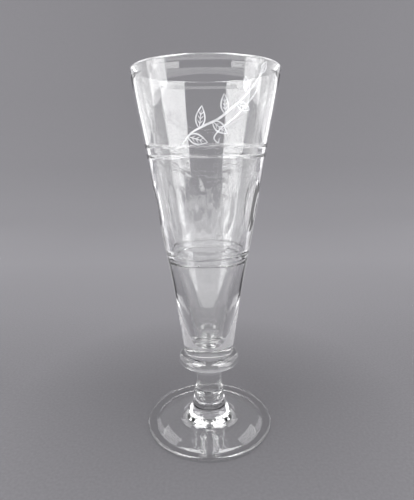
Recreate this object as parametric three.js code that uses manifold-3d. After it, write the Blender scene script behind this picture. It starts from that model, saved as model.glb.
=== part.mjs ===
// Stemmed pastis glass of clear glass, in mm. The foot's underside is z = 0, +Z is up, -Y is the front.
import * as THREE from 'three';
import { mergeVertices } from 'three/addons/utils/BufferGeometryUtils.js';
import Module from 'manifold-3d';

const wasm = await Module();
wasm.setup();

// Heights of the faces where the gathers are melted together.
const footTopZ = 17.6;
const buttonTopZ = 24.6;
const stemTopZ = 42.8;
const collarTopZ = 48.4;
const lipZ = 210;

// Foot: a flat disc that flares up into a bell with a rounded top. It stands on a ring, hollow inside the ring.
const footRadius = 39.2;
const footEdgeThickness = 3.2;
const bearingInnerRadius = 33.5;
const discRadiusAt = [[3.5, 34], [3.9, 27], [4.5, 21.5]];
const bellRadiusAt = [[5.4, 17.6], [6.9, 14.9], [9, 12.6], [11.5, 11.1], [14.2, 10.2]];
const bellTopRadius = 9.9;
const bellTopRound = 1.7;
const footEdgeArcEnd = 80;
const footHollowHeight = 2.2;
const hollowStepHeight = 1;
const hollowStepRadius = 30;
const pontilRadius = 7.2;
const pontilDepth = 0.9;

// Button and stem.
const buttonRadius = 9;
const buttonEdgeRound = 1.8;
const stemTopRadius = 8.8;
const stemWaistRadius = 7.7;
const stemBottomRadius = 8;
const stemWaistZ = 28;

// Collar: a solid ring, flat below, with a small round under its widest part and a broad one above it.
const collarRadius = 18.5;
const collarLowerRound = 1.5;
const collarShoulderWidth = 3.6;

// Bowl, outside.
const bowlBaseRadius = 14.6;
const bowlBaseRound = 0.8;
const bowlRadiusAt = [[63, 16.5], [84, 19.2], [109.2, 23.5], [136.5, 28.05], [167.4, 32.85], [189, 36.6]];
const lipRadius = 39.6;
const lipThickness = 2.2;
const lipArcStart = 30;
const baseArcEnd = -30;

// Bowl, inside: a slight bead under the lip, then the cone of the cup, which narrows faster than the outside.
const beadRadiusAt = [[207, 37.15], [204.5, 37.2], [202, 36.95]];
const cupRadiusAt = [[194, 35.75], [179, 32.95], [160.9, 29.75], [141.8, 26.4], [126, 23.6], [118, 21.9]];
const lowerCupRadiusAt = [[110, 20.2], [102, 18.3], [94, 16.3], [86, 14.2], [78, 12], [70, 9.8], [62, 7.6]];
const cupBottomZ = 53.5;
const cupBottomRadius = 6.6;

// Engraved rings.
const ringHeights = [170.5, 165.5, 112.4, 108.2];
const ringDepth = 0.4;
const ringHalfWidth = 0.55;

// Oval cuts round the middle, made with a grinding wheel.
const ovalCount = 8;
const ovalZ = 139;
const ovalHalfLength = 13.9;
const ovalHalfWidth = 7;
const ovalPhase = 14.8;

// Fineness of the round shapes.
const bowlSides = 72;
const footSides = 64;
const stemSides = 48;
const wheelSteps = 12;
const wheelMargin = 3;
const wheelClear = 6;
const collarSteps = 8;
const lipSteps = 5;
const footEdgeSteps = 7;
const edgeSteps = 4;
const stemSteps = 6;

const clearGlass = { color: 0xeef1f0, roughness: 0.04, metalness: 0, transparent: true, opacity: 0.35 };

// Points of an elliptic arc in the (radius, height) plane, angles in degrees from the outward direction.
function arc(centreR, centreZ, halfWidth, halfHeight, from, to, steps) {
  return Array.from({ length: steps + 1 }, (unused, i) => {
    const angle = THREE.MathUtils.degToRad(from + ((to - from) * i) / steps);
    return [centreR + halfWidth * Math.cos(angle), centreZ + halfHeight * Math.sin(angle)];
  });
}

function turned(profile, sides) {
  const points = profile.map(([r, z]) => new THREE.Vector2(r, z));
  return new THREE.LatheGeometry(points, sides).rotateX(Math.PI / 2);
}

function solidOf(geometry) {
  const bare = geometry.clone();
  bare.deleteAttribute('normal');
  bare.deleteAttribute('uv');
  const merged = mergeVertices(bare, 1e-4);
  return new wasm.Manifold(
    new wasm.Mesh({
      numProp: 3,
      vertProperties: new Float32Array(merged.attributes.position.array),
      triVerts: new Uint32Array(merged.index.array),
    }),
  );
}

function geometryOf(solid) {
  const mesh = solid.getMesh();
  const geometry = new THREE.BufferGeometry();
  geometry.setAttribute('position', new THREE.BufferAttribute(new Float32Array(mesh.vertProperties), 3));
  geometry.setIndex(new THREE.BufferAttribute(new Uint32Array(mesh.triVerts), 1));
  return geometry;
}

// Straight line between neighbouring rows of a [height, radius] table.
function radiusAt(table, z) {
  const i = table.findIndex((row, k) => k > 0 && z <= row[0]);
  const [z0, r0] = table[i - 1];
  const [z1, r1] = table[i];
  return r0 + ((r1 - r0) * (z - z0)) / (z1 - z0);
}

const outerTable = [[collarTopZ + bowlBaseRound, bowlBaseRadius], ...bowlRadiusAt, [lipZ - lipThickness / 2, lipRadius]];

// Each ring line is a shallow V groove in the outline.
function outerProfile() {
  const grooves = ringHeights.flatMap((z) => [
    [z - ringHalfWidth, 0],
    [z, ringDepth],
    [z + ringHalfWidth, 0],
  ]);
  const plain = outerTable.map(([z]) => [z, 0]);
  const rows = [...grooves, ...plain].sort((a, b) => a[0] - b[0]);
  return rows.map(([z, depth]) => [radiusAt(outerTable, z) - depth, z]);
}

function bowlProfile() {
  const half = lipThickness / 2;
  const inside = [...beadRadiusAt, ...cupRadiusAt, ...lowerCupRadiusAt].map(([z, r]) => [r, z]);
  const baseR = bowlBaseRadius - bowlBaseRound;
  return [
    [0, collarTopZ],
    ...arc(baseR, collarTopZ + bowlBaseRound, bowlBaseRound, bowlBaseRound, -90, baseArcEnd, 2),
    ...outerProfile(),
    ...arc(lipRadius - half, lipZ - half, half, half, lipArcStart, 180, lipSteps),
    ...inside,
    ...arc(0, cupBottomZ + cupBottomRadius, cupBottomRadius, cupBottomRadius, 0, -90, edgeSteps).slice(0, -1),
    [0, cupBottomZ],
  ];
}

// A wheel held flat against the wall: plain across, slightly hollow along, just deep enough for its half width.
function wheelCut(azimuth) {
  const radius = radiusAt(outerTable, ovalZ);
  const depth = radius - Math.sqrt(radius * radius - ovalHalfWidth * ovalHalfWidth);
  const wheelRadius = (ovalHalfLength * ovalHalfLength) / (2 * depth);
  const rise = radiusAt(outerTable, ovalZ + ovalHalfLength) - radiusAt(outerTable, ovalZ - ovalHalfLength);
  const reach = ovalHalfLength + wheelMargin;
  const span = ovalHalfWidth + wheelMargin;
  const outline = new THREE.Shape();
  outline.moveTo(wheelClear, -reach);
  for (let i = 0; i <= wheelSteps; i += 1) {
    const along = -reach + (2 * reach * i) / wheelSteps;
    outline.lineTo(wheelRadius - depth - Math.sqrt(wheelRadius * wheelRadius - along * along), along);
  }
  outline.lineTo(wheelClear, reach);
  const wheel = new THREE.ExtrudeGeometry(outline, { depth: 2 * span, bevelEnabled: false });
  wheel.translate(0, 0, -span).rotateX(Math.PI / 2);
  wheel.rotateY(Math.atan2(rise, 2 * ovalHalfLength)).translate(radius, 0, ovalZ);
  return solidOf(wheel.rotateZ(THREE.MathUtils.degToRad(azimuth - 90)));
}

function cutBowl() {
  let bowl = solidOf(turned(bowlProfile(), bowlSides));
  for (let i = 0; i < ovalCount; i += 1) {
    bowl = bowl.subtract(wheelCut((360 * i) / ovalCount + ovalPhase));
  }
  return geometryOf(bowl);
}

function collarProfile() {
  const widestZ = stemTopZ + collarLowerRound;
  const shoulderR = collarRadius - collarShoulderWidth;
  const lowerR = collarRadius - collarLowerRound;
  return [
    [0, stemTopZ],
    ...arc(lowerR, widestZ, collarLowerRound, collarLowerRound, -90, 0, edgeSteps),
    ...arc(shoulderR, widestZ, collarShoulderWidth, collarTopZ - widestZ, 0, 90, collarSteps).slice(1),
    [0, collarTopZ],
  ];
}

// A shallow waist: two joined parabolas from the ends to the narrowest height.
function stemProfile() {
  const rows = Array.from({ length: stemSteps + 1 }, (unused, i) => {
    const z = buttonTopZ + ((stemTopZ - buttonTopZ) * i) / stemSteps;
    const endRadius = z > stemWaistZ ? stemTopRadius : stemBottomRadius;
    const endZ = z > stemWaistZ ? stemTopZ : buttonTopZ;
    const share = (z - stemWaistZ) / (endZ - stemWaistZ);
    return [stemWaistRadius + (endRadius - stemWaistRadius) * share * share, z];
  });
  return [[0, buttonTopZ], ...rows, [0, stemTopZ]];
}

function buttonProfile() {
  const inner = buttonRadius - buttonEdgeRound;
  const round = buttonEdgeRound;
  return [
    [0, footTopZ],
    ...arc(inner, footTopZ + round, round, round, -90, 0, edgeSteps),
    ...arc(inner, buttonTopZ - round, round, round, 0, 90, edgeSteps),
    [0, buttonTopZ],
  ];
}

function footProfile() {
  const edge = footEdgeThickness / 2;
  const bearingOuterRadius = footRadius - edge;
  const bell = [...discRadiusAt, ...bellRadiusAt].map(([z, r]) => [r, z]);
  return [
    [0, footHollowHeight + pontilDepth],
    [pontilRadius / 2, footHollowHeight + pontilDepth * 0.75],
    [pontilRadius, footHollowHeight],
    [hollowStepRadius, hollowStepHeight],
    [bearingInnerRadius, 0],
    ...arc(bearingOuterRadius, edge, edge, edge, -90, footEdgeArcEnd, footEdgeSteps),
    ...bell,
    ...arc(bellTopRadius - bellTopRound, footTopZ - bellTopRound, bellTopRound, bellTopRound, 10, 90, edgeSteps),
    [0, footTopZ],
  ];
}

const glass = new THREE.Group();
glass.name = 'pastis_glass';

function add(name, geometry) {
  geometry.computeVertexNormals();
  const mesh = new THREE.Mesh(geometry, new THREE.MeshStandardMaterial(clearGlass));
  mesh.name = name;
  glass.add(mesh);
}

add('foot', geometryOf(solidOf(turned(footProfile(), footSides))));
add('button', geometryOf(solidOf(turned(buttonProfile(), stemSides))));
add('stem', geometryOf(solidOf(turned(stemProfile(), stemSides))));
add('collar', geometryOf(solidOf(turned(collarProfile(), footSides))));
add('bowl', cutBowl());

export default glass;
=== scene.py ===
"""Looks of the stemmed pastis glass: five clear gathers, wheel cuts, ring lines and an engraved sprig."""
import math

import bmesh
import bpy
import numpy as np
from mathutils import Matrix, Vector


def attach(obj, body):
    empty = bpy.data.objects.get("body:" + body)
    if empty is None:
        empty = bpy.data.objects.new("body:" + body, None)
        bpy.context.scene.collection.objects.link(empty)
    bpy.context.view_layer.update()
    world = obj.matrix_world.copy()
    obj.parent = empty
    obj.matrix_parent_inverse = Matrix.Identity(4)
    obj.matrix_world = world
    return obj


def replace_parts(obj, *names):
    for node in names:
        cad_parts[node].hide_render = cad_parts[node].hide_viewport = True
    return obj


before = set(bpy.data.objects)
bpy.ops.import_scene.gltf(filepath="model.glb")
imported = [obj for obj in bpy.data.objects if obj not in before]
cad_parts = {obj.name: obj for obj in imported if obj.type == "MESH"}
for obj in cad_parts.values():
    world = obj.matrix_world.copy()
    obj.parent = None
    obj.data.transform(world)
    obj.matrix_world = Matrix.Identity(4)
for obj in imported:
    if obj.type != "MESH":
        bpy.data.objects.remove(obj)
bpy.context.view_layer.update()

MM = 0.001

# Sizes of the glass, in mm and degrees. phi = 0 is the front (-Y) and grows towards +X.
FOOT_TOP, BUTTON_TOP, STEM_TOP, COLLAR_TOP, LIP = 17.6, 24.6, 42.8, 48.4, 210.0

FOOT_RADIUS, FOOT_EDGE, FOOT_EDGE_END = 39.2, 3.2, 80
BEARING_INNER, BEARING_ROUND, BEARING_ROUND_HEIGHT = 33.5, 0.6, 0.15
HOLLOW, HOLLOW_STEP, HOLLOW_STEP_RADIUS = 2.2, 1.0, 30.0
PONTIL_RADIUS, PONTIL_DEPTH, PONTIL_RIM = 7.2, 0.9, 0.5
PONTIL_SHARES = (0, 0.25, 0.5, 0.75, 1)
# Radius and height of the disc and the bell.
FOOT_TOP_SIDE = [(34, 3.5), (27, 3.9), (21.5, 4.5), (17.6, 5.4),
                 (14.9, 6.9), (12.6, 9), (11.1, 11.5), (10.2, 14.2)]
BELL_TOP, BELL_ROUND, BELL_ROUND_START = 9.9, 1.7, 10

BUTTON_RADIUS, BUTTON_ROUND = 9.0, 1.8
STEM_LOWER_END, STEM_UPPER_END, STEM_WAIST, STEM_WAIST_Z = 8.0, 8.8, 7.7, 28.0
COLLAR_RADIUS, COLLAR_LOWER, COLLAR_SHOULDER = 18.5, 1.5, 3.6

BOWL_BASE, BOWL_ROUND, BOWL_ROUND_END = 14.6, 0.8, -10
LIP_RADIUS, LIP_THICK, LIP_ROUND_START = 39.6, 2.2, 15
# Height and radius of the bowl's outside and of its cup.
OUTSIDE = [(49.2, 14.6), (63, 16.5), (84, 19.2), (109.2, 23.5),
           (136.5, 28.05), (167.4, 32.85), (189, 36.6), (208.9, 39.6)]
INSIDE = [(207, 37.15), (204.5, 37.2), (202, 36.95), (194, 35.75), (179, 32.95), (160.9, 29.75),
          (141.8, 26.4), (126, 23.6), (118, 21.9), (110, 20.2), (102, 18.3), (94, 16.3),
          (86, 14.2), (78, 12), (70, 9.8), (62, 7.6)]
CUP_BOTTOM, CUP_BOTTOM_ROUND, CUP_ROUND_END = 53.5, 6.6, -80

RING_LINES, RING_DEPTH, RING_WIDTH = (170.5, 165.5, 112.4, 108.2), 0.42, 0.45
# A ring line wavers by these: waves round the glass, sign of the shift from line to line, height.
RING_WAVES = ((5, 1, 0.3), (13, -1, 0.12))
GROUND_FROM_SHARE = 0.25
OVALS, OVAL_Z, OVAL_HALF_LENGTH, OVAL_HALF_WIDTH, OVAL_PHASE = 8, 139.0, 13.9, 7.0, 14.8

# Fineness: columns round a piece, rows up the bowl's wall, and steps along each curve.
BOWL_COLUMNS, WALL_ROWS, SIDES = 640, 320, 256
BOWL_ROUND_STEPS, LIP_STEPS, CUP_STEPS, CUP_BOTTOM_STEPS = 6, 12, 150, 14
COLLAR_LOWER_STEPS, COLLAR_SHOULDER_STEPS, STEM_ROWS, BUTTON_STEPS = 14, 30, 28, 10
FOOT_EDGE_STEPS, FOOT_TOP_STEPS, BELL_STEPS = 16, 70, 12
SHARP_ANGLE = 20


def mix(a, b, t):
    return a + (b - a) * t


def arc(centre_r, centre_z, half_r, half_z, start, end, steps):
    """Points (radius, height) on an oval; angles in degrees from the outward direction."""
    turn = [math.radians(mix(start, end, i / steps)) for i in range(steps + 1)]
    return [(centre_r + half_r * math.cos(a), centre_z + half_z * math.sin(a)) for a in turn]


def smooth_line(points, steps):
    """A smooth curve through (a, b) points, in even steps of the distance along them."""
    p = np.array(points, float)
    along = np.concatenate([[0], np.cumsum(np.hypot(*np.diff(p, axis=0).T))])
    slope = np.gradient(p, along, axis=0)
    out = []
    for s in np.linspace(0, along[-1], steps):
        i = min(max(np.searchsorted(along, s) - 1, 0), len(p) - 2)
        h = along[i + 1] - along[i]
        t = (s - along[i]) / h
        out.append((2 * t**3 - 3 * t**2 + 1) * p[i] + (t**3 - 2 * t**2 + t) * h * slope[i]
                   + (3 * t**2 - 2 * t**3) * p[i + 1] + (t**3 - t**2) * h * slope[i + 1])
    return [tuple(q) for q in out]


def wall_radius(z):
    return np.interp(z, *zip(*OUTSIDE))


def outside_radius(phi, z):
    """The outer wall with its oval cuts and ring lines, and where it is ground by a ring line."""
    plain = wall_radius(z)
    centre_r = wall_radius(OVAL_Z)
    depth = centre_r - math.sqrt(centre_r**2 - OVAL_HALF_WIDTH**2)
    cut = plain - depth + depth * ((z - OVAL_Z) / OVAL_HALF_LENGTH) ** 2
    pitch = 2 * math.pi / OVALS
    off = (phi - math.radians(OVAL_PHASE) + pitch / 2) % pitch - pitch / 2
    radius = np.minimum(plain, cut / np.cos(off))
    groove = np.zeros(phi.shape)
    for line in RING_LINES:
        middle = line
        for waves, sign, high in RING_WAVES:
            middle = middle + high * np.sin(waves * phi + sign * line)
        groove = np.maximum(groove, RING_DEPTH * np.exp(-(((z - middle) / RING_WIDTH) ** 2)))
    return radius - groove, groove > GROUND_FROM_SHARE * RING_DEPTH


# Materials. Each noise: scale, detail, and stretch along x, y and z.
RIPPLE, CORDS, WEAR = (70, 1.5, (1, 1, 0.35)), (420, 2, (1, 1, 0.08)), (900, 6)
WELD_STREAKS, GRIT, WHEEL_PRESSURE, PAPER_FIBRE = (200, 2), (2600, 4), (160, 2), (600, 4)
NOISE_LOW, NOISE_HIGH = 0.3, 0.7
GLASS_IOR, CORD_SHARE = 1.52, 0.18
GLASS_TINTS = (0.985, 0.99, 0.985, 1), (1, 1, 1, 1)
WELD_TINTS = (0.95, 0.955, 0.95, 1), (0.99, 0.99, 0.99, 1)
MATT_COLOUR, MATT_ROUGHNESS, MATT_COVER = (0.86, 0.87, 0.88, 1), (0.55, 0.9), (0.45, 0.8)
MATT_BUMP, MATT_BUMP_DEPTH = 0.6, 0.05


def node(tree, kind, **inputs):
    made = tree.nodes.new(kind)
    for name, value in inputs.items():
        made.inputs[name.replace("_", " ")].default_value = value
    return made


def noise(tree, coords, scale, detail, stretch=(1, 1, 1)):
    place = node(tree, "ShaderNodeMapping", Scale=stretch)
    tree.links.new(coords.outputs["Object"], place.inputs["Vector"])
    made = node(tree, "ShaderNodeTexNoise", Scale=scale, Detail=detail)
    tree.links.new(place.outputs["Vector"], made.inputs["Vector"])
    return made.outputs["Fac"]


def ranged(tree, source, low, high, start=NOISE_LOW, end=NOISE_HIGH):
    """From low to high while the source goes from start to end."""
    made = node(tree, "ShaderNodeMapRange", From_Min=start, From_Max=end, To_Min=low, To_Max=high)
    tree.links.new(source, made.inputs["Value"])
    return made.outputs["Result"]


def maths(tree, operation, first, second=0.0, clamp=False):
    """A math node on two sockets or numbers."""
    made = tree.nodes.new("ShaderNodeMath")
    made.operation = operation
    made.use_clamp = clamp
    for socket, value in zip(made.inputs, (first, second)):
        if isinstance(value, bpy.types.NodeSocket):
            tree.links.new(value, socket)
        else:
            socket.default_value = value
    return made.outputs["Value"]


def tinted(tree, factor, low, high):
    """A colour from low to high, by the factor."""
    made = tree.nodes.new("ShaderNodeMix")
    made.data_type = "RGBA"
    made.inputs["A"].default_value = low
    made.inputs["B"].default_value = high
    tree.links.new(factor, made.inputs["Factor"])
    return made.outputs["Result"]


def bumped(tree, height, shader, strength, depth):
    bump = node(tree, "ShaderNodeBump", Strength=strength, Distance=depth * MM)
    tree.links.new(height, bump.inputs["Height"])
    tree.links.new(bump.outputs["Normal"], shader.inputs["Normal"])


def new_material(name):
    material = bpy.data.materials.new(name)
    material.use_nodes = True
    return material, material.node_tree, material.node_tree.nodes.new("ShaderNodeTexCoord")


def clear_glass(name, smooth, worn, wave):
    """Hot-worked glass: slow ripples from the blowing, fine cords, and roughness where it is worn."""
    material, tree, coords = new_material(name)
    shader = tree.nodes["Principled BSDF"]
    shader.inputs["Transmission Weight"].default_value = 1.0
    shader.inputs["IOR"].default_value = GLASS_IOR
    ripple = noise(tree, coords, *RIPPLE)
    relief = node(tree, "ShaderNodeMix", Factor=CORD_SHARE)
    tree.links.new(ripple, relief.inputs["A"])
    tree.links.new(noise(tree, coords, *CORDS), relief.inputs["B"])
    bumped(tree, relief.outputs["Result"], shader, 1.0, wave)
    wear = noise(tree, coords, *WEAR)
    tree.links.new(ranged(tree, wear, smooth, worn), shader.inputs["Roughness"])
    tree.links.new(tinted(tree, ripple, *GLASS_TINTS), shader.inputs["Base Color"])
    return material


def weld_face():
    """The melted joint inside the glass, where light passes from one gather into the next."""
    material, tree, coords = new_material("melted_joint")
    tree.nodes.remove(tree.nodes["Principled BSDF"])
    clear = tree.nodes.new("ShaderNodeBsdfTransparent")
    streak = noise(tree, coords, *WELD_STREAKS)
    tree.links.new(tinted(tree, streak, *WELD_TINTS), clear.inputs["Color"])
    tree.links.new(clear.outputs["BSDF"], tree.nodes["Material Output"].inputs["Surface"])
    return material


def engraved_matt():
    """Matt strokes of the engraver's wheel, denser where it was pressed."""
    material, tree, coords = new_material("engraved_matt")
    shader = tree.nodes["Principled BSDF"]
    shader.inputs["Base Color"].default_value = MATT_COLOUR
    grit = noise(tree, coords, *GRIT)
    tree.links.new(ranged(tree, grit, *MATT_ROUGHNESS), shader.inputs["Roughness"])
    pressed = noise(tree, coords, *WHEEL_PRESSURE)
    tree.links.new(ranged(tree, pressed, *MATT_COVER), shader.inputs["Alpha"])
    bumped(tree, grit, shader, MATT_BUMP, MATT_BUMP_DEPTH)
    return material


# Name, roughness where smooth and where worn, and depth of the ripples in mm.
BLOWN = clear_glass("blown_glass", 0.0, 0.006, 0.03)
DRAWN = clear_glass("drawn_glass", 0.0, 0.01, 0.05)
PRESSED = clear_glass("foot_glass", 0.0, 0.02, 0.025)
GROUND = clear_glass("ground_lines", 0.12, 0.3, 0.03)
WELD = weld_face()
MATT = engraved_matt()

# Material slots of a turned piece.
SKIN, WELDED, GROUND_LINE = 0, 1, 2


# Turned pieces.
def add_piece(name, mesh):
    piece = bpy.data.objects.new(name, mesh)
    bpy.context.collection.objects.link(piece)
    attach(piece, "root")
    return piece


def turned_piece(name, columns, rows, materials):
    """A closed surface from rows of radius, height and the slot of the band up to the next row. Radius
    and slot are one value, or one for each column."""
    phi = np.linspace(0, 2 * math.pi, columns, endpoint=False)
    verts, index, faces, chosen = [], [], [], []
    for r, z, slot in rows:
        r = np.broadcast_to(r, phi.shape)
        start = len(verts)
        if r.max() <= 0:
            verts.append((0, 0, z * MM))
            index.append(np.full(columns, start))
        else:
            verts += zip(r * np.sin(phi) * MM, -r * np.cos(phi) * MM, np.full(columns, z * MM))
            index.append(start + np.arange(columns))
    for low, high, (r, z, slot) in zip(index, index[1:], rows):
        slot = np.broadcast_to(slot, phi.shape)
        for k in range(columns):
            j = (k + 1) % columns
            corners = list(dict.fromkeys(int(v) for v in (low[k], low[j], high[j], high[k])))
            if len(corners) > 2:
                faces.append(corners)
                chosen.append(int(slot[k]))
    mesh = bpy.data.meshes.new(name)
    mesh.from_pydata([tuple(float(c) for c in v) for v in verts], [], faces)
    for material in materials:
        mesh.materials.append(material)
    mesh.polygons.foreach_set("material_index", chosen)
    mesh.polygons.foreach_set("use_smooth", [True] * len(faces))
    mesh.update()
    mesh.set_sharp_from_angle(angle=math.radians(SHARP_ANGLE))
    return add_piece(name, mesh)


def lathe(name, profile, material, replaced, weld_below=True):
    """A solid gather from (radius, height) points, melted to the one above it and, unless told, to
    the one below."""
    slots = [SKIN] * len(profile)
    slots[0] = WELDED if weld_below else SKIN
    slots[-2] = WELDED
    rows = [(r, z, slot) for (r, z), slot in zip(profile, slots)]
    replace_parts(turned_piece(name, SIDES, rows, (material, WELD)), replaced)


def make_bowl():
    phi = np.linspace(0, 2 * math.pi, BOWL_COLUMNS, endpoint=False)
    base = arc(BOWL_BASE - BOWL_ROUND, COLLAR_TOP + BOWL_ROUND, BOWL_ROUND, BOWL_ROUND,
               -90, BOWL_ROUND_END, BOWL_ROUND_STEPS)
    rows = [(0, COLLAR_TOP, WELDED)] + [(r, z, SKIN) for r, z in base]
    for z in np.linspace(OUTSIDE[0][0], OUTSIDE[-1][0], WALL_ROWS):
        radius, ground = outside_radius(phi, z)
        rows.append((radius, z, np.where(ground, GROUND_LINE, SKIN)))
    half = LIP_THICK / 2
    inner = arc(LIP_RADIUS - half, LIP - half, half, half, LIP_ROUND_START, 180, LIP_STEPS)
    inner += smooth_line([(r, z) for z, r in INSIDE], CUP_STEPS)
    inner += arc(0, CUP_BOTTOM + CUP_BOTTOM_ROUND, CUP_BOTTOM_ROUND, CUP_BOTTOM_ROUND,
                 0, CUP_ROUND_END, CUP_BOTTOM_STEPS)
    rows += [(r, z, SKIN) for r, z in inner + [(0, CUP_BOTTOM)]]
    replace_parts(turned_piece("bowl_glass", BOWL_COLUMNS, rows, (BLOWN, WELD, GROUND)), "bowl")


def make_collar():
    widest = STEM_TOP + COLLAR_LOWER
    edge = arc(COLLAR_RADIUS - COLLAR_LOWER, widest, COLLAR_LOWER, COLLAR_LOWER,
               -90, 0, COLLAR_LOWER_STEPS)
    edge += arc(COLLAR_RADIUS - COLLAR_SHOULDER, widest, COLLAR_SHOULDER, COLLAR_TOP - widest,
                0, 90, COLLAR_SHOULDER_STEPS)[1:]
    lathe("collar_glass", [(0, STEM_TOP)] + edge + [(0, COLLAR_TOP)], DRAWN, "collar")


def make_stem():
    """A shallow waist: two joined parabolas from the ends to the narrowest height."""
    side = []
    for z in np.linspace(BUTTON_TOP, STEM_TOP, STEM_ROWS):
        above = z > STEM_WAIST_Z
        end_r, end_z = (STEM_UPPER_END, STEM_TOP) if above else (STEM_LOWER_END, BUTTON_TOP)
        share = (z - STEM_WAIST_Z) / (end_z - STEM_WAIST_Z)
        side.append((mix(STEM_WAIST, end_r, share**2), z))
    lathe("stem_glass", [(0, BUTTON_TOP)] + side + [(0, STEM_TOP)], DRAWN, "stem")


def make_button():
    inner = BUTTON_RADIUS - BUTTON_ROUND
    edge = arc(inner, FOOT_TOP + BUTTON_ROUND, BUTTON_ROUND, BUTTON_ROUND, -90, 0, BUTTON_STEPS)
    edge += arc(inner, BUTTON_TOP - BUTTON_ROUND, BUTTON_ROUND, BUTTON_ROUND, 0, 90, BUTTON_STEPS)
    lathe("button_glass", [(0, FOOT_TOP)] + edge + [(0, BUTTON_TOP)], DRAWN, "button")


def make_foot():
    half = FOOT_EDGE / 2
    pontil = [(PONTIL_RADIUS * t, HOLLOW + PONTIL_DEPTH * (1 - t**2)) for t in PONTIL_SHARES]
    under = [(PONTIL_RADIUS + PONTIL_RIM, HOLLOW), (HOLLOW_STEP_RADIUS, HOLLOW_STEP),
             (BEARING_INNER - BEARING_ROUND, BEARING_ROUND_HEIGHT), (BEARING_INNER, 0)]
    edge = arc(FOOT_RADIUS - half, half, half, half, -90, FOOT_EDGE_END, FOOT_EDGE_STEPS)
    top = smooth_line([edge[-1]] + FOOT_TOP_SIDE, FOOT_TOP_STEPS)[1:]
    bell = arc(BELL_TOP - BELL_ROUND, FOOT_TOP - BELL_ROUND, BELL_ROUND, BELL_ROUND,
               BELL_ROUND_START, 90, BELL_STEPS)
    profile = pontil + under + edge + top + bell + [(0, FOOT_TOP)]
    lathe("foot_glass", profile, PRESSED, "foot", weld_below=False)


# Engraved sprig: strokes drawn on the unrolled wall, across in mm from the front and up in mm.
SPRIG_STEM = [(-13, 171), (-8, 176), (-1, 179.5), (6, 182.5),
              (12, 187), (18, 192), (23, 197.5), (27, 203)]
SPRIG_SWASH = [(27, 203), (25.5, 196), (20, 189), (12, 181.5),
               (7, 178), (4, 173.5), (6.2, 171.8), (6.6, 174)]
SPRIG_POINTS, UNROLLED_AT = 60, 190
# Stroke widths in mm, the share of a stroke's sine at its two ends, and how far it stands off the wall.
STROKE, STEM_STROKE, SWASH_STROKE, FINE_STROKE = 0.72, 1.08, 0.792, 0.432
STROKE_START, STROKE_END, STROKE_STANDS = 0.06, 0.94, 0.03
# Leaves: points of the stem that carry them, angle from the stem, and size from the first to the last.
LEAVES_AT, LEAF_SPREAD, FIRST_LEAF, LAST_LEAF = (6, 14, 22, 30, 38, 46), 58, 1.1, 0.75
LEAF_LENGTH, LEAF_WIDTH, LEAF_POINTS, LEAF_FULLNESS = 9.5, 4.2, 14, 0.8
TIP_HEADING, TIP_LENGTH, TIP_WIDTH = 64, 0.6, 0.7
# Shares of a leaf's length and width.
MIDRIB, VEIN_STARTS, VEIN_AHEAD, VEIN_OUT = 0.8, (0.2, 0.4, 0.6), 0.16, 0.3
VEIN_SHARES = (0, 0.5, 1)


def on_wall(across, z):
    radius = wall_radius(z) + STROKE_STANDS
    phi = across / wall_radius(UNROLLED_AT)
    return (radius * math.sin(phi) * MM, -radius * math.cos(phi) * MM, z * MM)


def ribbon(bm, line, width):
    """A flat stroke that narrows to both ends."""
    p = np.array(line, float)
    direction = np.gradient(p, axis=0)
    direction /= np.linalg.norm(direction, axis=1)[:, None]
    side = np.stack([-direction[:, 1], direction[:, 0]], axis=1)
    taper = np.sin(np.pi * np.linspace(STROKE_START, STROKE_END, len(p))) ** 0.5
    left = p + side * (width / 2 * taper)[:, None]
    right = p - side * (width / 2 * taper)[:, None]
    pairs = [(bm.verts.new(on_wall(*a)), bm.verts.new(on_wall(*b))) for a, b in zip(left, right)]
    for (a, b), (c, d) in zip(pairs, pairs[1:]):
        bm.faces.new((a, b, d, c))


def leaf(bm, base, heading, length, width):
    """A pointed leaf: two edges, a midrib and short veins."""
    ahead = np.array([math.cos(heading), math.sin(heading)])
    side = np.array([-ahead[1], ahead[0]])
    base = np.array(base)
    share = np.linspace(0, 1, LEAF_POINTS)
    for sign in (1, -1):
        swell = np.sin(np.pi * share**LEAF_FULLNESS) * width / 2 * sign
        ribbon(bm, base + ahead * (share * length)[:, None] + side * swell[:, None], STROKE)
    ribbon(bm, base + ahead * (share * length * MIDRIB)[:, None], FINE_STROKE)
    for start in VEIN_STARTS:
        for sign in (1, -1):
            root = base + ahead * start * length
            tip = root + ahead * VEIN_AHEAD * length + side * sign * width * VEIN_OUT
            ribbon(bm, [tuple(mix(root, tip, t)) for t in VEIN_SHARES], FINE_STROKE)


def make_sprig():
    bm = bmesh.new()
    stem = smooth_line(SPRIG_STEM, SPRIG_POINTS)
    ribbon(bm, stem, STEM_STROKE)
    ribbon(bm, smooth_line(SPRIG_SWASH, SPRIG_POINTS), SWASH_STROKE)
    for k, at in enumerate(LEAVES_AT):
        along = np.subtract(stem[at + 1], stem[at])
        spread = math.radians(LEAF_SPREAD) * (1 if k % 2 else -1)
        heading = math.atan2(along[1], along[0]) + spread
        size = mix(FIRST_LEAF, LAST_LEAF, k / (len(LEAVES_AT) - 1))
        leaf(bm, stem[at], heading, LEAF_LENGTH * size, LEAF_WIDTH * size)
    tip_heading = math.radians(TIP_HEADING)
    leaf(bm, stem[-1], tip_heading, LEAF_LENGTH * TIP_LENGTH, LEAF_WIDTH * TIP_WIDTH)
    mesh = bpy.data.meshes.new("engraved_sprig")
    bm.to_mesh(mesh)
    bm.free()
    mesh.materials.append(MATT)
    add_piece("engraved_sprig", mesh)


make_foot()
make_button()
make_stem()
make_collar()
make_bowl()
make_sprig()


# Studio: one grey sweep, soft lamps and a dim room. In metres.
FLOOR_FRONT, BEND_START, BEND_RADIUS, BEND_STEPS = -4.5, 0.7, 0.9, 24
SWEEP_TOP, SWEEP_HALF_WIDTH = 2.4, 2.5
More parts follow.
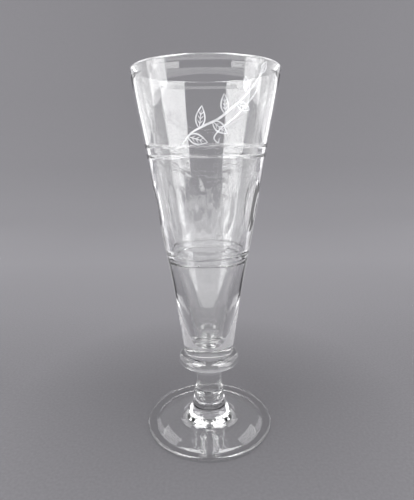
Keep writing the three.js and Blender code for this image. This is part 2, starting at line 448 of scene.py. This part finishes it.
# The paper's grey with a painted light falloff, at shares of the way (y + z) from near to far: the two
# ends, then the stops between.
PAPER_NEAR, PAPER_FAR = -0.3, 1.8
PAPER_GREY_AND_PAINTED_FALLOFF = ((0.0, 0.218), (1.0, 0.246), (0.12, 0.218), (0.16, 0.215), (0.19, 0.23),
               (0.235, 0.257), (0.33, 0.292), (0.6, 0.281), (0.75, 0.258))
# Its colour cast, and how far its fibres darken and lighten it.
PAPER_CAST, GRAIN_DARK, GRAIN_LIGHT = (0.985, 0.965, 1.03), 0.94, 1.06
# How much of what shows is the paper's grey, with its painted shadow and light, and its strength when
# seen through glass.
PAPER_SHOWN, PAPER_THROUGH_GLASS = 0.85, 1.16
# Painted shadow: the paper is darker round the foot. Painted light: it is lighter far to the sides.
PAINTED_SHADOW_CENTRE_Y, PAINTED_SHADOW_INNER, PAINTED_SHADOW_OUTER, PAINTED_SHADOW_SHARE = 0.03, 0.04, 0.14, 0.77
PAINTED_SIDE_LIGHT_INNER, PAINTED_SIDE_LIGHT_OUTER, PAINTED_SIDE_LIGHT_SHARE = 0.25, 1.0, 1.15

# Watts for each square metre and unit of radiance, and the share of it that lights matt surfaces.
AREA_POWER, PLAIN_SHARE = 4.0, 0.3
# Azimuth, distance, lower edge, upper edge and width, and radiance; one on each side.
UPRIGHT_PANELS = {
    "window": (64, 1.0, 0.42, 1.10, 0.92, 5.5),
    "high_window": (64, 1.0, 1.10, 1.90, 0.92, 12.0),
    "side": (75, 1.05, 0.08, 0.42, 0.62, 3.4),
    "rear": (108, 0.9, 0.06, 0.80, 0.70, 1.2),
    "upper_rear": (128, 1.0, 0.80, 1.60, 0.9, 2.2),
    "edge": (137, 0.9, 0.01, 0.80, 0.19, 1.2),
}
# Place, width and depth, and radiance; one on each side.
FLAT_PANELS = {
    "overhead": (0.55, -0.2, 1.5, 0.6, 1.2, 9.0),
    "floor_card": (0.32, 0.38, 0.006, 0.5, 0.41, 0.32),
    "side_card": (0.59, 0.1, 0.006, 0.6, 0.5, 0.4),
    "front_card": (0.2, -0.175, 0.006, 0.4, 0.25, 0.65),
}
# A curtain of panels in front, in two rows between three heights.
CURTAIN_AZIMUTHS, CURTAIN_DISTANCE, CURTAIN_WIDTH = (-64, -32, 0, 32, 64), 4.0, 2.3
CURTAIN_EDGES, CURTAIN_RADIANCES = (0.03, 0.39, 0.88), (1.9, 2.4)
ROOM_COLOUR, ROOM_STRENGTH = (0.5, 0.5, 0.52, 1), 0.5


def paper_grey_with_painted_light(tree, coords):
    """The sweep's grey with painted light: a painted falloff from near to far, fibres, a painted shadow
    round the foot and painted light far to the sides.
    """
    place = tree.nodes.new("ShaderNodeSeparateXYZ")
    tree.links.new(coords.outputs["Object"], place.inputs["Vector"])
    away = maths(tree, "ADD", place.outputs["Y"], place.outputs["Z"])
    # Painted light falloff: the grey rises towards the bend and falls off again up the backdrop.
    ramp = tree.nodes.new("ShaderNodeValToRGB")
    tree.links.new(ranged(tree, away, 0.0, 1.0, PAPER_NEAR, PAPER_FAR), ramp.inputs["Fac"])
    stops = ramp.color_ramp.elements
    for k, (at, grey) in enumerate(PAPER_GREY_AND_PAINTED_FALLOFF):
        stop = stops[k] if k < 2 else stops.new(at)
        stop.position = at
        stop.color = (*(grey * cast for cast in PAPER_CAST), 1)
    # Painted shadow: a soft dark pool painted on the paper round the foot.
    shift = node(tree, "ShaderNodeMapping", Location=(0, -PAINTED_SHADOW_CENTRE_Y, 0))
    tree.links.new(coords.outputs["Object"], shift.inputs["Vector"])
    reach = tree.nodes.new("ShaderNodeVectorMath")
    reach.operation = "LENGTH"
    tree.links.new(shift.outputs["Vector"], reach.inputs[0])
    dim = ranged(tree, reach.outputs["Value"], PAINTED_SHADOW_SHARE, 1.0, PAINTED_SHADOW_INNER, PAINTED_SHADOW_OUTER)
    # Painted light: the paper is painted lighter far to the sides, as if the side lamps lit it more
    # there.
    beside = maths(tree, "ABSOLUTE", place.outputs["X"])
    lighter = ranged(tree, beside, 1.0, PAINTED_SIDE_LIGHT_SHARE, PAINTED_SIDE_LIGHT_INNER, PAINTED_SIDE_LIGHT_OUTER)
    grain = ranged(tree, noise(tree, coords, *PAPER_FIBRE), GRAIN_DARK, GRAIN_LIGHT)
    level = maths(tree, "MULTIPLY", maths(tree, "MULTIPLY", grain, dim), lighter)
    product = node(tree, "ShaderNodeMix", Factor=1.0)
    product.data_type = "RGBA"
    product.blend_type = "MULTIPLY"
    tree.links.new(ramp.outputs["Color"], product.inputs["A"])
    tree.links.new(level, product.inputs["B"])
    return product.outputs["Result"]


def grey_paper():
    """Matt paper that mostly shows its grey, with its painted shadow and light, to camera, glossy and
    transmission rays. The rest of what shows is lit, so that the object's shadow stays soft and light."""
    material, tree, coords = new_material("grey_paper")
    tree.nodes.remove(tree.nodes["Principled BSDF"])
    colour = paper_grey_with_painted_light(tree, coords)
    rays = tree.nodes.new("ShaderNodeLightPath").outputs
    by_glass = maths(tree, "MAXIMUM", rays["Is Transmission Ray"], rays["Is Glossy Ray"])
    seen = maths(tree, "MAXIMUM", rays["Is Camera Ray"], by_glass)
    strength = ranged(tree, rays["Is Transmission Ray"], 1.0, PAPER_THROUGH_GLASS, 0.0, 1.0)
    paper = tree.nodes.new("ShaderNodeBsdfDiffuse")
    shown = tree.nodes.new("ShaderNodeEmission")
    both = tree.nodes.new("ShaderNodeMixShader")
    tree.links.new(colour, paper.inputs["Color"])
    tree.links.new(colour, shown.inputs["Color"])
    tree.links.new(strength, shown.inputs["Strength"])
    tree.links.new(maths(tree, "MULTIPLY", seen, PAPER_SHOWN), both.inputs["Fac"])
    tree.links.new(paper.outputs["BSDF"], both.inputs[1])
    tree.links.new(shown.outputs["Emission"], both.inputs[2])
    tree.links.new(both.outputs["Shader"], tree.nodes["Material Output"].inputs["Surface"])
    return material


def sweep():
    """Floor and backdrop in one curved sheet."""
    line = [(FLOOR_FRONT, 0.0), (BEND_START, 0.0)]
    for k in range(1, BEND_STEPS + 1):
        a = math.pi / 2 * k / BEND_STEPS
        line.append((BEND_START + BEND_RADIUS * math.sin(a), BEND_RADIUS * (1 - math.cos(a))))
    line.append((BEND_START + BEND_RADIUS, SWEEP_TOP))
    verts = [(x, y, z) for y, z in line for x in (-SWEEP_HALF_WIDTH, SWEEP_HALF_WIDTH)]
    faces = [(2 * k, 2 * k + 1, 2 * k + 3, 2 * k + 2) for k in range(len(line) - 1)]
    mesh = bpy.data.meshes.new("grey_sweep")
    mesh.from_pydata(verts, [], faces)
    mesh.polygons.foreach_set("use_smooth", [True] * len(faces))
    mesh.materials.append(grey_paper())
    piece = bpy.data.objects.new("grey_sweep", mesh)
    bpy.context.collection.objects.link(piece)


def panel(name, wide, high, radiance):
    """A soft panel that the camera doesn't see, bare or straight through the glass. It lights matt
    surfaces at a plain level, and reflections show it at its full radiance."""
    lamp = bpy.data.lights.new(name, "AREA")
    lamp.shape = "RECTANGLE"
    lamp.size, lamp.size_y = wide, high
    lamp.energy = radiance * wide * high * AREA_POWER
    lamp.use_nodes = True
    tree = lamp.node_tree
    rays = tree.nodes.new("ShaderNodeLightPath").outputs
    bare = maths(tree, "SUBTRACT", 1.0, rays["Transmission Depth"], clamp=True)
    level = maths(tree, "MULTIPLY", bare, PLAIN_SHARE)
    for depth in ("Glossy Depth", "Diffuse Depth"):
        level = maths(tree, "ADD", level, rays[depth], clamp=True)
    tree.links.new(level, tree.nodes["Emission"].inputs["Strength"])
    piece = bpy.data.objects.new(name, lamp)
    piece.visible_camera = False
    bpy.context.collection.objects.link(piece)
    return piece


def upright_panel(name, azimuth, distance, low, high, wide, radiance):
    """Stands at that azimuth and distance, from one height to another, and faces the object."""
    piece = panel(name, wide, high - low, radiance)
    a = math.radians(azimuth)
    piece.location = (distance * math.sin(a), -distance * math.cos(a), (low + high) / 2)
    toward = Vector((-math.sin(a), math.cos(a), 0))
    piece.rotation_euler = toward.to_track_quat("-Z", "Y").to_euler()


def flat_panel(name, x, y, z, wide, deep, radiance):
    """Lies level and faces the height of the object: down from above it, up from the floor."""
    piece = panel(name, wide, deep, radiance)
    piece.location = (x, y, z)
    if z < LIP * MM:
        piece.rotation_euler = (math.pi, 0, 0)


sweep()
for side, sign in (("left", -1), ("right", 1)):
    for name, (azimuth, *rest) in UPRIGHT_PANELS.items():
        upright_panel(f"{side}_{name}", sign * azimuth, *rest)
    for name, (x, *rest) in FLAT_PANELS.items():
        flat_panel(f"{side}_{name}", sign * x, *rest)
for azimuth in CURTAIN_AZIMUTHS:
    for k, radiance in enumerate(CURTAIN_RADIANCES):
        low, high = CURTAIN_EDGES[k:k + 2]
        name = f"curtain_{azimuth}_{k}"
        upright_panel(name, azimuth, CURTAIN_DISTANCE, low, high, CURTAIN_WIDTH, radiance)

world = bpy.data.worlds.new("dim_room")
world.use_nodes = True
world.node_tree.nodes["Background"].inputs["Color"].default_value = ROOM_COLOUR
world.node_tree.nodes["Background"].inputs["Strength"].default_value = ROOM_STRENGTH
bpy.context.scene.world = world

# Camera, fitted to the outlines of lip and foot in a 414 x 500 picture. It stands a little aside, in m,
# and back and up by these heights of the glass.
FOCAL_PIXELS, PICTURE_HIGH, SENSOR_HIGH, NEAREST = 412, 500, 24, 0.01
EYE_ASIDE, EYE_BACK, EYE_UP = -0.0003, 1.11, 0.799
PITCH, ROLL = 13.41, -0.72
camera = bpy.data.cameras.new("camera")
camera.sensor_fit = "VERTICAL"
camera.sensor_height = SENSOR_HIGH
camera.lens = SENSOR_HIGH * FOCAL_PIXELS / PICTURE_HIGH
camera.clip_start = NEAREST
eye = bpy.data.objects.new("camera", camera)
eye.location = (EYE_ASIDE, -EYE_BACK * LIP * MM, EYE_UP * LIP * MM)
tilt = Matrix.Rotation(math.radians(90 - PITCH), 4, "X")
eye.rotation_euler = (tilt @ Matrix.Rotation(math.radians(ROLL), 4, "Z")).to_euler()
bpy.context.collection.objects.link(eye)
bpy.context.scene.camera = eye
bpy.context.scene.view_settings.view_transform = "Standard"
